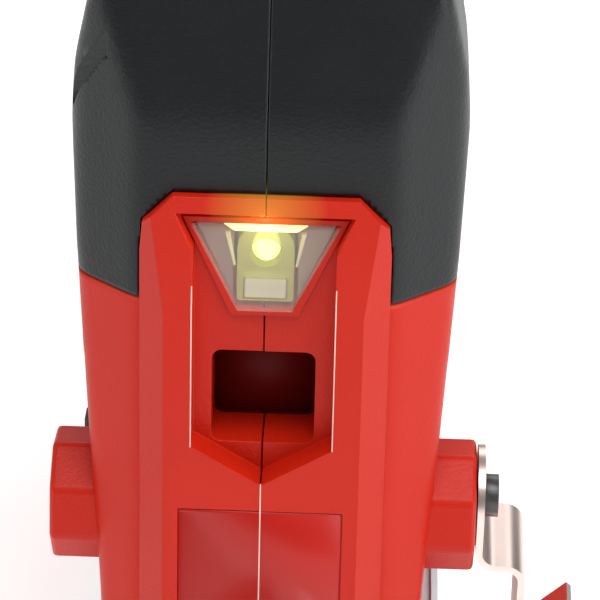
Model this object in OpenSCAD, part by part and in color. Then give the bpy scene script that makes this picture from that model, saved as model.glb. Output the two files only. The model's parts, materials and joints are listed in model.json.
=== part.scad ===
// Cordless jigsaw with a top handle, standing on its sole.
// Origin: sole plane, on the centre plane, under the plunger axis. The nose faces -Y.

/* [Body] */
// Width of the red body where it meets the black head
body_w = 68; // [62:1:74]
// Width of the black head at its widest
head_w = 70; // [66:1:78]
// Width of the red body at its lower edge
foot_w = 58.5; // [54:0.5:62]
// Height of the seam between red body and black head
seam_z = 118.5; // [115:0.5:122]
// Height of the top of the head
head_z = 204; // [200:1:214]
// Distance from the plunger axis to the rear face
tail_y = 138; // [132:1:150]
// Wall of the moulded housing halves
wall = 2.6; // [2:0.1:3.2]
// Thickness of the soft skin over head and handle
skin = 2; // [1.4:0.1:2.6]
// Width of the handle
handle_w = 34; // [30:1:38]

/* [Nose] */
// Width of the raised nose frame where it leaves the body
nose_w = 44; // [40:1:48]
// How far the nose frame stands out from the body
nose_out = 4.5; // [3.5:0.5:6]
// Top of the nose frame
nose_top = 139.3; // [137:0.1:142]
// Width of the channel in the nose
channel_w = 25; // [22:0.5:28]
// Depth of the channel
channel_d = 6; // [4:0.5:7]
// Width and height of the window below the lens
window = 18.4; // [15:0.2:20]
// Diameter of the side bosses across their flats
boss_d = 23; // [20:0.5:26]
// How far the side bosses reach from the centre plane
boss_x = 39.3; // [38.5:0.1:42]

/* [Drive] */
// Stroke of the plunger
stroke = 26; // [20:1:26]
// Radius of the plunger rod
rod_r = 4.5; // [4:0.25:5]
// Gear module
gear_m = 1; // [0.8:0.1:1]
// Teeth of the crank gear
gear_teeth = 50; // [40:1:50]
// Teeth of the motor pinion
pinion_teeth = 10; // [8:1:12]
// Radius of the motor can
motor_r = 22; // [19:0.5:23]
// Radial clearance of turning and sliding fits
fit = 0.05; // [0.03:0.01:0.08]

/* [Sole] */
// Width of the sole
sole_w = 70; // [64:1:72]
// Front edge of the sole, ahead of the plunger axis
sole_front = 62; // [50:1:75]
// Rear edge of the sole, behind the plunger axis
sole_rear = 104; // [96:1:112]
// Width of the blade slot
slot_w = 18; // [17:0.5:22]
// Thickness of the steel footplate
plate_t = 2.4; // [2:0.1:3]
// Thickness of the plastic shoe under it
shoe_t = 1.6; // [1:0.1:2]

/* [Battery] */
// Width of the battery pack
pack_w = 71; // [70:1:80]
// Depth of the battery pack
pack_d = 48; // [46:1:56]
// Height of the battery pack
pack_h = 114; // [112:1:122]

/* [Hook] */
// Width of the belt hook strip
hook_w = 19; // [16:0.5:22]
// Thickness of the strip
hook_t = 1.3; // [1:0.1:1.6]
// Lean of the hook behind the vertical
hook_lean = 8; // [0:1:20]

/* [Hidden] */
$fn = 48;
eps = 0.01;

// Small helpers for rounded outlines. A point is [across, up, corner radius].
function unit(v) = v / norm(v);
function turn(a) = ((a % 360) + 540) % 360 - 180;
function flat(p) = [p[0], p[1]];
function corner(a, b, c, r, n) =
  let (u = unit(a - b), w = unit(c - b), half = acos(u * w) / 2)
  r <= 0 || half > 89 ? [b] :
  let (
    reach = r / tan(half),
    centre = b + unit(u + w) * r / sin(half),
    from = b + u * reach - centre,
    to = b + w * reach - centre,
    start = atan2(from[1], from[0]),
    sweep = turn(atan2(to[1], to[0]) - start)
  )
  [for (i = [0:n]) centre + r * [cos(start + sweep * i / n), sin(start + sweep * i / n)]];
function rounded(P, n = 5) =
  let (k = len(P))
  [for (i = [0:k - 1])
    each corner(flat(P[(i + k - 1) % k]), flat(P[i]), flat(P[(i + 1) % k]), P[i][2], n)];
// Moves every side of a counter-clockwise outline inwards by d
function inset(P, d) =
  let (k = len(P))
  [for (i = [0:k - 1])
    let (
      a = unit(flat(P[i]) - flat(P[(i + k - 1) % k])),
      b = unit(flat(P[(i + 1) % k]) - flat(P[i])),
      na = [-a[1], a[0]],
      nb = [-b[1], b[0]],
      p = flat(P[i]) + (na + nb) / (1 + na * nb) * d,
      convex = a[0] * b[1] - a[1] * b[0] > 0,
      r = len(P[i]) > 2 ? P[i][2] : 0
    )
    [p[0], p[1], r <= 0 ? 0 : convex ? max(r - d, 0.2) : r + d]];
module side_slab(P, x0, x1) {
  translate([x0, 0, 0]) rotate([90, 0, 90]) linear_extrude(x1 - x0) polygon([for (p = P) flat(p)]);
}
module front_slab(P, y0, y1) {
  translate([0, y1, 0]) rotate([90, 0, 0]) linear_extrude(y1 - y0) polygon([for (p = P) flat(p)]);
}
module box(lo, hi) { translate(lo) cube(hi - lo); }
module bar_x(y, z, r, x0, x1) { translate([x0, y, z]) rotate([0, 90, 0]) cylinder(r = r, h = x1 - x0); }
module bar_y(x, z, r, y0, y1) { translate([x, y0, z]) rotate([-90, 0, 0]) cylinder(r = r, h = y1 - y0); }
module bar_z(x, y, r, z0, z1) { translate([x, y, z0]) cylinder(r = r, h = z1 - z0); }
module tube_x(y, z, r_out, r_in, x0, x1) {
  difference() { bar_x(y, z, r_out, x0, x1); bar_x(y, z, r_in, x0 - 1, x1 + 1); }
}
module tube_y(x, z, r_out, r_in, y0, y1) {
  difference() { bar_y(x, z, r_out, y0, y1); bar_y(x, z, r_in, y0 - 1, y1 + 1); }
}
module tube_z(x, y, r_out, r_in, z0, z1) {
  difference() { bar_z(x, y, r_out, z0, z1); bar_z(x, y, r_in, z0 - 1, z1 + 1); }
}

// ---- Outer form: where three outlines meet ----
front_y = -26;
chin_z = 46;
belly_z = 36;
deck_z = 112;
body_h = body_w / 2;
head_h = head_w / 2;
foot_h = foot_w / 2;
trunk = [[front_y, chin_z, 4], [20, chin_z, 4], [31, belly_z, 5], [tail_y - 8, belly_z, 9],
  [tail_y, belly_z + 12, 6], [tail_y, deck_z, 3], [46, deck_z, 9], [37, 158, 12], [32, head_z - 6, 8],
  [6, head_z, 20], [-17, head_z - 20, 22], [front_y, 152, 24]];
front_outline = [[foot_h, belly_z - 2, 0], [foot_h + 1, 54, 30], [body_h - 1.8, 92, 60],
  [body_h, seam_z, 60], [head_h, 147, 40], [head_h - 0.6, 158, 30], [head_h - 3.8, 174, 24],
  [head_h - 11.5, 194, 14], [16, head_z + 2, 8]];
front_form = concat(front_outline, [for (i = [len(front_outline) - 1:-1:0])
  [-front_outline[i][0], front_outline[i][1], front_outline[i][2]]]);
waist_h = head_h - 4.3;
plan_form = [[-22, front_y, 6], [22, front_y, 6], [head_h, front_y + 11.5, 9], [head_h, 3, 40], [waist_h,
  42, 40],
  [waist_h, tail_y - 20, 14], [body_h - 7, tail_y, 8], [7 - body_h, tail_y, 8], [-waist_h, tail_y - 20, 14],
  [-waist_h, 42, 40], [-head_h, 3, 40], [-head_h, front_y + 11.5, 9]];
handle = [[16, 168, 0], [104, 160, 14], [112, 96, 2], [tail_y, 96, 0], [tail_y, 168, 18],
  [112, 191, 26], [30, head_z - 3, 30], [16, head_z - 2, 0]];
pad = skin + wall;
black_zone = [[-60, seam_z], [50, seam_z], [50, 148], [200, 148], [200, 300], [-60, 300]];

module trunk_form(d) {
  intersection() {
    side_slab(rounded(inset(trunk, d)), -60, 60);
    front_slab(rounded(inset(front_form, d), 4), -60, 200);
    linear_extrude(300) polygon(rounded(inset(plan_form, d)));
  }
}
module handle_form(d) {
  h = handle_w / 2 - d;
  side_slab(rounded(inset(handle, d)), -h, h);
}
module whole_form(d) { trunk_form(d); handle_form(d); }
module half(side) {
  intersection() {
    children();
    box([side < 0 ? -60 : 0, -80, -10], [side < 0 ? 0 : 60, 260, 300]);
  }
}

// ---- Nose ----
nose_y = front_y - nose_out;
floor_y = nose_y + channel_d;
nose_h = nose_w / 2;
nose_bend = 118;
channel_h = channel_w / 2;
vee_z = 91.6;
vee_drop = 7.5;
window_z = 98.9;
window_h = window / 2;
pocket_back = -13;
lens_lo = 116.7;
lens_hi = 133.4;
lens_gap = 0.15;
nose_face = [[-nose_h, chin_z + 1], [nose_h, chin_z + 1], [nose_h, 127], [nose_h - 0.5, nose_top - 5.5],
  [nose_h - 5.6, nose_top], [5.6 - nose_h, nose_top], [0.5 - nose_h, nose_top - 5.5], [-nose_h, 127]];
channel_face = [[-channel_h, vee_z], [0, vee_z - vee_drop], [channel_h, vee_z], [channel_h, 129.3],
  [channel_h + 2.9, 136.1], [-channel_h - 2.9, 136.1], [-channel_h, 129.3]];
module lens_face(d, y0, y1) {
  front_slab(inset([[-5, lens_lo, 0], [5, lens_lo, 0], [13.2, lens_hi, 0], [-13.2, lens_hi, 0]], d), y0,
    y1);
}
module nose_solid(d = 0) {
  f = nose_h - nose_out;
  intersection() {
    front_slab(inset(nose_face, -d), nose_y - 1, -12);
    linear_extrude(300) polygon([[-nose_h - d, -12], [-nose_h - d, front_y], [-f - d, nose_y - d],
      [f + d, nose_y - d], [nose_h + d, front_y], [nose_h + d, -12]]);
    side_slab([[nose_y - d, chin_z], [-12, chin_z], [-12, nose_top + 2], [front_y - 1.5 - d, nose_top + 2],
      [nose_y - d, nose_bend]], -60, 60);
  }
}
module pocket(d) {
  box([-window_h - d, floor_y - (d > 0 ? 0 : 5), window_z - window_h - d],
    [window_h + d, pocket_back + d, window_z + window_h + d]);
}

// ---- Side bosses and hook ----
boss_y = -6;
boss_z = 69.6;
boss_drop = 2.2;
insert_r = 3;
thread_r = 1.65;
insert_in = 27;
hook_gap = 0.3;
hook_x = boss_x + hook_gap;
head_r = 4;
hook_drop = 52;
hook_step = 8.2;
hook_shelf = 10.6;
belt_gap = 3.8;
lip_z = 18.6;
lip_out = 5;
module boss(side) {
  translate([side * (boss_x + 20) / 2, boss_y, boss_z - boss_drop]) rotate([22.5, 0, 0]) rotate([0, 90, 0])
    cylinder(d = boss_d / cos(22.5), h = boss_x - 20, center = true, $fn = 8);
}

// ---- Drive ----
gear_z = 101;
gear_r = gear_m * gear_teeth / 2;
pinion_r = gear_m * pinion_teeth / 2;
motor_z = gear_z - gear_r - pinion_r;
crank_r = stroke / 2;
roller_r = 4;
// The yoke slot is taller than the roller: its travel is not quite in step with the crank angle
yoke_play = 0.215 * crank_r;
yoke_h = roller_r + yoke_play + 4.4;
yoke_z = gear_z + crank_r;
sleeve_h = 8.5;
gear_y = 12;
gear_w = 8;
case_y = 22;
case_t = 10;
axle_r = 5;
shaft_r = 2.5;
bearing_r = 8;
bush_r = 7;
lower_bush_z = 58;
upper_bush_z = 136;
bush_h = 8;
tooth_gap = 0.25;
clamp_z = 40;
clamp_h = 17.5;
clamp_r = 6.5;
sleeve_r = 9;
blade_w = 7.4;
blade_t = 1.2;
blade_tip = 2;
roller_z = 8.6;
guide_r = 5;
guide_y = blade_w / 2 + guide_r + 0.3;
pivot_y = 27;
pivot_z = 42;
knob_y = 40;
knob_z = 49;
knob_r = 10;
can_y0 = 37;
can_y1 = 99;
rear_bearing_y = 116;

// A straight-sided gear outline with n teeth
function gear_outline(n, m, gap) =
  [for (i = [0:n - 1]) let (a = 360 / n, r1 = m * n / 2 - 1.2 * m, r2 = m * n / 2 + m - gap)
    each [
      r1 * [cos(a * (i - 0.32)), sin(a * (i - 0.32))],
      m * n / 2 * [cos(a * (i - 0.23)), sin(a * (i - 0.23))],
      r2 * [cos(a * (i - 0.11)), sin(a * (i - 0.11))],
      r2 * [cos(a * (i + 0.11)), sin(a * (i + 0.11))],
      m * n / 2 * [cos(a * (i + 0.23)), sin(a * (i + 0.23))],
      r1 * [cos(a * (i + 0.32)), sin(a * (i + 0.32))]
    ]];

// ---- Housing ----
screw_spots = [[12, 160], [14, 187], [52, 103], [100, 103], [124, 168], [88, 178],
  [126, 47], [44, 42]];
screw_x = 13;
vent_rows = 6;
trigger_y0 = 50;
trigger_y1 = 76;
trigger_h = 8;
lock_y = 62;
lock_z = 184;
dial_y = 32;
dial_z = 195;
dial_r = 11;
dock_w = 44;
dock_y = tail_y + 8;
dock_lo = 60;
dock_hi = 148;
mouth = 19;
keel_y0 = 34;
keel_y1 = 80;
shield_top = 50;
shield_travel = 20;
seat_r = 20.3;

module dock(d) {
  box([-dock_w / 2 - d, tail_y - 6, dock_lo], [dock_w / 2 + d, dock_y + d, dock_hi + d]);
  box([-dock_w / 2 - 5 - d, tail_y + 4 - d, dock_lo], [dock_w / 2 + 5 + d, dock_y + d, dock_hi + d]);
}
module keel() {
  difference() {
    front_slab([[-20.8, belly_z + 8], [-9.6, 16.6], [9.6, 16.6], [20.8, belly_z + 8]], keel_y0, keel_y1);
    bar_y(0, 0, seat_r, keel_y0 - 1, keel_y1 + 1);
  }
}
module screw_boss(p) {
  intersection() {
    whole_form(skin + 0.5);
    bar_x(p[0], p[1], 5.2, -60, 60);
  }
}
module cuts() {
  for (p = screw_spots) {
    bar_x(p[0], p[1], 1.5, -screw_x + 1, screw_x);
    bar_x(p[0], p[1], 3.4, screw_x, 60);
  }
  front_slab(channel_face, nose_y - 5, floor_y);
  pocket(0);
  lens_face(0, floor_y - 1, floor_y + 9);
  box([-14.8, nose_y - 1, 54], [14.8, nose_y + 0.4, 78.8]);
  for (s = [-1, 1]) bar_x(boss_y, boss_z, insert_r, s < 0 ? -boss_x - 1 : insert_in,
    s < 0 ? -insert_in : boss_x + 1);
  box([-mouth, -21, chin_z - 20], [mouth, 21, chin_z + 8]);
  box([-16, -23.4, chin_z - 5], [16, -20, shield_top + shield_travel + 0.8]);
  box([-mouth, 20, belly_z - 5], [mouth, 33, chin_z + 8]);
  bar_z(0, screw_y, 3, 10, 34);
  bar_x(knob_y, knob_z, 4 + fit, -60, -15);
  for (s = [-1, 1], i = [0:vent_rows - 1])
    box([s < 0 ? -60 : 20, 101 + 3.6 * i, 56], [s < 0 ? -20 : 60, 103 + 3.6 * i, 88]);
  box([-8.4, trigger_y0 - 0.4, 155], [8.4, trigger_y1 + 0.4, 176]);
  bar_x(lock_y, lock_z, 5 + fit, -60, -8);
  box([-4.4, dial_y - dial_r - 0.5, dial_z - 4], [4.4, dial_y + dial_r + 0.5, dial_z + 20]);
}
module housing_half(side) {
  color("firebrick") difference() {
    half(side) difference() {
      union() {
        difference() {
          union() {
            difference() { trunk_form(0); side_slab(black_zone, -60, 60); }
            difference() { handle_form(0); side_slab(black_zone, -60, 60); }
            whole_form(skin);
            nose_solid();
            boss(-1);
            boss(1);
            dock(0);
            keel();
          }
          whole_form(pad);
        }
        for (p = screw_spots) screw_boss(p);
        pocket(1.8);
        for (s = [-1, 1]) bar_x(boss_y, boss_z, insert_r + 2.4, s < 0 ? -32 : insert_in - 2,
          s < 0 ? 2 - insert_in : 32);
      }
      box([-15, tail_y - 1, 70], [15, dock_y + 1, dock_hi - 10]);
    }
    cuts();
  }
}
module housing_left() { housing_half(-1); }
module housing_right() { housing_half(1); }

// ---- Soft grip skin ----
module badge_zone(d) { box([20, -11 - d, seam_z + 1.5 - d], [60, 27 + d, 147 + d]); }
// A slanted groove in the left corner of the head
key_slot = [[-23, 166.5], [-13.5, 149.5], [-11.5, 150.5], [-21, 167.5]];
module grip_half(side) {
  color("dimgray") difference() {
    half(side) intersection() {
      difference() { whole_form(0); whole_form(skin); }
      side_slab(black_zone, -60, 60);
    }
    nose_solid(0.1);
    cuts();
    side_slab(key_slot, -60, -27);
    badge_zone(0.1);
    box([-4.6, dial_y - dial_r - 1, dial_z - 4], [4.6, dial_y + dial_r + 1, dial_z + 20]);
  }
}
module grip_left() { grip_half(-1); }
module grip_right() { grip_half(1); }
module side_badge() {
  color("maroon") intersection() {
    difference() { trunk_form(0); trunk_form(skin); }
    badge_zone(0);
  }
}

// ---- Lamp ----
module nose_lens() {
  color("lightyellow") {
    lens_face(lens_gap, floor_y - 2.2, floor_y + 1.2);
    box([-4, floor_y + 1, lens_lo + 1], [4, floor_y + 4, lens_lo + 4.5]);
  }
}
led_z = 127.2;
module led() {
  color("khaki") {
    bar_y(0, led_z, 2.5, floor_y + 4, floor_y + 9);
    translate([0, floor_y + 4, led_z]) intersection() {
      sphere(r = 2.5);
      box([-3, -3, -3], [3, 0.01, 3]);
    }
  }
}
module led_holder() {
  color("gainsboro") difference() {
    box([-5.2, floor_y + 5, lens_lo + 1], [5.2, floor_y + 11, 134]);
    bar_y(0, led_z, 2.5, floor_y, floor_y + 9);
  }
}

// ---- Hook ----
module boss_inserts() {
  color("goldenrod") for (s = [-1, 1])
    tube_x(boss_y, boss_z, insert_r, thread_r, s < 0 ? -boss_x + 0.2 : insert_in,
      s < 0 ? -insert_in : boss_x - 0.2);
}
module belt_hook() {
  half_w = hook_w / 2;
  t = hook_t;
  leg = hook_step + t + belt_gap;
  // Down the plate, out along the shelf, down, round the bottom and up to the flared lip, then back inside
  path = [[0, 0, 0], [0, -hook_shelf, 4], [hook_step, -hook_shelf, 2.6], [hook_step, -hook_drop, 3.1],
    [leg + t, -hook_drop, 3.1], [leg + t, -lip_z - 0.5, 2], [leg + t + lip_out, lip_out - lip_z - 0.5, 0],
    [leg + t + lip_out - 0.9, lip_out - lip_z + 0.4, 0], [leg, -lip_z, 3], [leg, t - hook_drop, 1.8],
    [hook_step + t, t - hook_drop, 1.8], [hook_step + t, t - hook_shelf, 3.9], [t, t - hook_shelf, 2.7], [t, 0, 0]];
  color("silver") translate([hook_x, boss_y, boss_z]) rotate([hook_lean, 0, 0]) difference() {
    union() {
      rotate([90, 0, 0]) translate([0, 0, -half_w]) linear_extrude(hook_w) polygon(rounded(path));
      rotate([0, 90, 0]) cylinder(r = half_w, h = hook_t);
      box([0, -half_w, -3], [hook_t, half_w, 0]);
    }
    translate([-1, 0, 0]) rotate([0, 90, 0]) cylinder(r = 2 + fit, h = hook_t + 2);
  }
}
module hook_screw() {
  x1 = hook_x + hook_t;
  color("dimgray") difference() {
    union() {
      bar_x(boss_y, boss_z, thread_r, insert_in + 3, boss_x);
      bar_x(boss_y, boss_z, 2, boss_x - eps, x1 + 0.05);
      bar_x(boss_y, boss_z, head_r, x1 + 0.05, x1 + 2.7);
    }
    box([x1 + 1.4, boss_y - 0.5, boss_z - 2.6], [x1 + 5, boss_y + 0.5, boss_z + 2.6]);
    box([x1 + 1.4, boss_y - 2.6, boss_z - 0.5], [x1 + 5, boss_y + 2.6, boss_z + 0.5]);
  }
}
module housing_screws() {
  color("dimgray") for (p = screw_spots) difference() {
    union() {
      bar_x(p[0], p[1], 1.5, -screw_x + 2, screw_x);
      bar_x(p[0], p[1], 2.8, screw_x, screw_x + 2.2);
    }
    bar_x(p[0], p[1], 1.3, screw_x + 0.8, screw_x + 4);
  }
}

// ---- Gear case and drive ----
module gear_housing() {
  color("lightgray") difference() {
    union() {
      box([-24, case_y, 52], [24, case_y + case_t, upper_bush_z + 9]);
      box([-9.5, -9, lower_bush_z - 1], [9.5, case_y, lower_bush_z + bush_h + 0.5]);
      box([-9.5, -9, upper_bush_z - 1], [9.5, case_y, upper_bush_z + bush_h + 1]);
      for (s = [-1, 1]) box([s < 0 ? -8 : 4.6, pivot_y - 5, pivot_z - 4], [s < 0 ? -4.6 : 8,
        case_y + case_t, 53]);
    }
    bar_z(0, 0, bush_r, 40, 160);
    bar_y(0, gear_z, axle_r, 15, 28);
    bar_y(0, motor_z, bearing_r, 15, case_y + 7);
    bar_y(0, motor_z, pinion_r + gear_m + 0.8, gear_y - 1, case_y);
    bar_y(0, motor_z, shaft_r + 1.5, 15, 60);
    bar_x(pivot_y, pivot_z, 2, -20, 20);
  }
}
module gear_axle() { color("silver") bar_y(0, gear_z, axle_r, gear_y + 0.3, 28); }
module crank_gear() {
  color("darkgray") difference() {
    union() {
      translate([0, gear_y + gear_w, gear_z]) rotate([90, 0, 0]) rotate([0, 0, 180 / gear_teeth - 90])
        linear_extrude(gear_w) polygon(gear_outline(gear_teeth, gear_m, tooth_gap));
    }
    bar_y(0, gear_z, axle_r + fit, gear_y - 1, gear_y + gear_w + 1);
    for (a = [60:60:300]) translate([0, 0, gear_z]) rotate([0, a, 0]) bar_y(0, 16, 3.2, gear_y - 1,
      gear_y + gear_w + 1);
  }
}
module crank_roller() {
  color("silver") {
    bar_y(0, gear_z + crank_r, 2.5, gear_y - 1, gear_y);
    bar_y(0, gear_z + crank_r, roller_r, rod_r + 0.7, gear_y - 1);
  }
}
module plunger() { color("silver") bar_z(0, 0, rod_r, clamp_z + 8, upper_bush_z + bush_h + stroke + 1); }
module yoke() {
  color("gray") difference() {
    union() {
      box([-crank_r - roller_r - 3.6, rod_r + 0.5, yoke_z - yoke_h], [crank_r + roller_r + 3.6,
        rod_r + 5, yoke_z + yoke_h]);
      for (s = [-1, 1]) bar_z(0, 0, 7, yoke_z + (s < 0 ? -yoke_h - sleeve_h + 1 : yoke_h - 1),
        yoke_z + (s < 0 ? 1 - yoke_h : yoke_h + sleeve_h - 1));
    }
    bar_z(0, 0, rod_r, 60, 150);
    box([-crank_r - roller_r - 0.6, 0, yoke_z - roller_r - yoke_play],
      [crank_r + roller_r + 0.6, 20, yoke_z + roller_r + yoke_play]);
  }
}
module upper_bush() { color("peru") tube_z(0, 0, bush_r, rod_r + fit, upper_bush_z,
  upper_bush_z + bush_h); }
module lower_bush() { color("peru") tube_z(0, 0, bush_r, rod_r + fit, lower_bush_z,
  lower_bush_z + bush_h); }
module blade_clamp() {
  color("dimgray") difference() {
    union() {
      bar_z(0, 0, clamp_r, clamp_z, clamp_z + clamp_h);
      bar_z(0, 0, clamp_r + 0.9, clamp_z, clamp_z + 1.6);
    }
    bar_z(0, 0, rod_r, clamp_z + 8, clamp_z + 30);
    box([-blade_t / 2, -blade_w / 2, clamp_z - 1], [blade_t / 2, blade_w / 2, clamp_z + 8]);
  }
}
module clamp_sleeve() {
  color("black") union() {
    tube_z(0, 0, sleeve_r, clamp_r + fit, clamp_z + 1.8, clamp_z + 14);
    difference() {
      rotate([0, 0, 215]) translate([sleeve_r - 1.5, -2.2, clamp_z + 4]) cube([7, 4.4, 8]);
      bar_z(0, 0, clamp_r + fit + 0.2, clamp_z, clamp_z + 20);
    }
  }
}
module blade() {
  color("lightsteelblue") intersection() {
    side_slab([[-blade_w / 2 + 1.4, blade_tip + 4], [blade_w / 2 - 1, blade_tip], [blade_w / 2,
      blade_tip + 3],
      [blade_w / 2, clamp_z + 7.8], [-blade_w / 2, clamp_z + 7.8], [-blade_w / 2, clamp_z - 4],
      for (i = [0:12]) each [[-blade_w / 2 + 1.3, clamp_z - 6 - 2 * i], [-blade_w / 2 + 0.4,
        clamp_z - 7 - 2 * i]]],
      -blade_t / 2, blade_t / 2);
    box([-5, -10, 0], [5, 10, 60]);
  }
}
module pendulum_fork() {
  color("slategray") difference() {
    union() {
      for (s = [-1, 1])
        side_slab(rounded([[guide_y - 3, roller_z - 3, 2], [guide_y + 4, roller_z - 3, 2], [pivot_y + 4,
          pivot_z - 4, 3],
          [pivot_y + 4, pivot_z + 4, 3], [pivot_y - 4, pivot_z + 4, 3], [pivot_y - 4, pivot_z - 2, 3],
          [guide_y + 3, roller_z + 8, 2], [guide_y - 3, roller_z + 3, 2]]),
          s < 0 ? -3.4 : 1.9, s < 0 ? -1.9 : 3.4);
      box([-3.4, 19.5, 26], [3.4, 23.5, 31]);
    }
    bar_x(guide_y, roller_z, 1.5, -20, 20);
    bar_x(pivot_y, pivot_z, 2 + fit, -20, 20);
  }
}
module pendulum_pin() { color("silver") bar_x(pivot_y, pivot_z, 2, -8, 8); }
module guide_roller() {
  color("silver") difference() {
    tube_x(guide_y, roller_z, guide_r, 1.5 + fit, -1.6, 1.6);
    tube_x(guide_y, roller_z, guide_r + 1, guide_r - 0.6, -0.7, 0.7);
  }
}
module roller_pin() { color("dimgray") bar_x(guide_y, roller_z, 1.5, -3.4, 3.4); }
module orbit_knob() {
  color("dimgray") difference() {
    union() {
      bar_x(knob_y, knob_z, 4, -36, -16);
      bar_x(knob_y, knob_z, knob_r, -34.5, -31.2);
      box([-37.6, knob_y - 2.4, knob_z - knob_r + 0.4], [-34.4, knob_y + 2.4, knob_z + knob_r - 0.4]);
    }
    box([-38, knob_y - 0.5, knob_z + 4], [-37.2, knob_y + 0.5, knob_z + 9]);
  }
}

// ---- Motor ----
module motor_can() {
  color("slategray") difference() {
    tube_y(0, motor_z, motor_r, motor_r - 1.6, can_y0, can_y1);
    for (a = [45:90:315]) translate([0, 0, motor_z]) rotate([0, a, 0]) box([-4, can_y1 - 14, 10], [4,
      can_y1 - 4, 30]);
  }
}
module magnets() {
  color("dimgray") difference() {
    tube_y(0, motor_z, motor_r - 1.6, motor_r - 6.2, can_y0 + 6, can_y1 - 20);
    for (s = [-1, 1]) box([-3, 0, motor_z + (s < 0 ? -30 : 5)], [3, 120, motor_z + (s < 0 ? -5 : 30)]);
  }
}
module motor_shaft() { color("silver") bar_y(0, motor_z, shaft_r, gear_y - 1, rear_bearing_y + 7); }
module armature() {
  color("sienna") difference() {
    bar_y(0, motor_z, motor_r - 7, can_y0 + 9, can_y1 - 23);
    bar_y(0, motor_z, shaft_r, 0, 120);
    for (a = [0:45:315]) translate([0, 0, motor_z]) rotate([0, a, 0]) box([-0.8, 0, motor_r - 10], [0.8,
      120, motor_r]);
  }
}
module commutator() { color("darkorange") tube_y(0, motor_z, 8, shaft_r, can_y1 + 2, can_y1 + 12); }
module pinion() {
  color("darkgray") difference() {
    translate([0, gear_y + gear_w, motor_z]) rotate([90, 0, 0]) rotate([0, 0, 90])
      linear_extrude(gear_w) polygon(gear_outline(pinion_teeth, gear_m, tooth_gap));
    bar_y(0, motor_z, shaft_r, 0, 40);
  }
}
module fan() {
  color("black") {
    tube_y(0, motor_z, 6, shaft_r, can_y1 - 19, can_y1 - 9);
    tube_y(0, motor_z, motor_r - 4, shaft_r + 2, can_y1 - 11, can_y1 - 9.4);
    for (a = [0:40:320]) translate([0, 0, motor_z]) rotate([0, a, 0]) box([-0.6, can_y1 - 18, 5], [0.6,
      can_y1 - 10, motor_r - 4.6]);
  }
}
module front_bearing() { color("silver") tube_y(0, motor_z, bearing_r, shaft_r + fit, case_y, case_y + 7); }
module rear_bearing() { color("silver") tube_y(0, motor_z, bearing_r, shaft_r + fit, rear_bearing_y,
  rear_bearing_y + 5); }
module brush_holder() {
  color("saddlebrown") difference() {
    union() {
      tube_y(0, motor_z, motor_r, 10, can_y1 + 3, can_y1 + 11);
      tube_y(0, motor_z, 11, bearing_r, can_y1 + 16, rear_bearing_y + 5);
      for (s = [-1, 1]) box([s < 0 ? -14 : 9, can_y1 + 10, motor_z - 4], [s < 0 ? -9 : 14, can_y1 + 20,
        motor_z + 4]);
    }
    box([-30, can_y1 + 4, motor_z - 3.1], [30, can_y1 + 10, motor_z + 3.1]);
    bar_y(0, motor_z, bearing_r, can_y1, rear_bearing_y + 6);
  }
}
module brushes() {
  color("black") for (s = [-1, 1])
    box([s < 0 ? -19 : 8.1, can_y1 + 4.3, motor_z - 2.8], [s < 0 ? -8.1 : 19, can_y1 + 9.7, motor_z + 2.8]);
}

// ---- Controls ----
trigger_z = 160;
module trigger() {
  color("crimson") difference() {
    side_slab(rounded([[trigger_y0, trigger_z - 9, 3], [trigger_y0 + 8, trigger_z - 6, 8],
      [trigger_y1 - 5, trigger_z - 6, 6],
      [trigger_y1, trigger_z - 3, 3], [trigger_y1, trigger_z + trigger_h, 0], [trigger_y0,
        trigger_z + trigger_h, 0]]), -8, 8);
    box([-6, trigger_y0 + 2.4, trigger_z - 1], [6, trigger_y1 - 2.4, trigger_z + 20]);
  }
}
module trigger_spring() {
  color("silver") tube_z(0, trigger_y1 - 8, 3, 2.2, trigger_z - 0.9, 175.9);
}
module switch_block() {
  color("darkslategray") difference() {
    union() {
      box([-6.5, 52, 176], [6.5, 80, 190]);
      box([-1.5, 58, 165.5], [1.5, 63, 176]);
    }
    bar_x(lock_y, lock_z, 0.8, -10, -5);
  }
}
module lock_button() {
  color("crimson") {
    bar_x(lock_y, lock_z, 5, -handle_w / 2 - 3.2, -11);
  }
}
module speed_dial() {
  color("dimgray") difference() {
    bar_x(dial_y, dial_z, dial_r, -4, 4);
    bar_x(dial_y, dial_z, 2, -5, 5);
    for (a = [0:15:345]) translate([0, dial_y, dial_z]) rotate([a, 0, 0]) box([-5, dial_r - 0.7, -0.5],
      [5, dial_r + 1, 0.5]);
  }
}
board_y = 118;
module control_board() {
  color("seagreen") {
    box([-11, board_y, 116], [11, board_y + 1.6, 146]);
    box([-6, board_y + 1.6, 120], [6, board_y + 6, 132]);
    bar_y(0, 139, 4, board_y + 1.6, board_y + 7);
  }
}
module terminal_block() {
  color("black") difference() {
    box([-14.5, tail_y - 0.5, 84], [14.5, dock_y - 1.5, 126]);
    for (s = [-1, 0, 1]) box([8.5 * s - 1.6, tail_y + 1.5, 88], [8.5 * s + 1.6, dock_y, 122]);
  }
}
module wires() {
  color("red") for (s = [-1, 1]) {
    bar_z(4 * s, board_y + 9, 1.1, 104, 142);
    bar_z(9 * s, board_y + 3, 1.1, 120, 158);
  }
}

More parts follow.
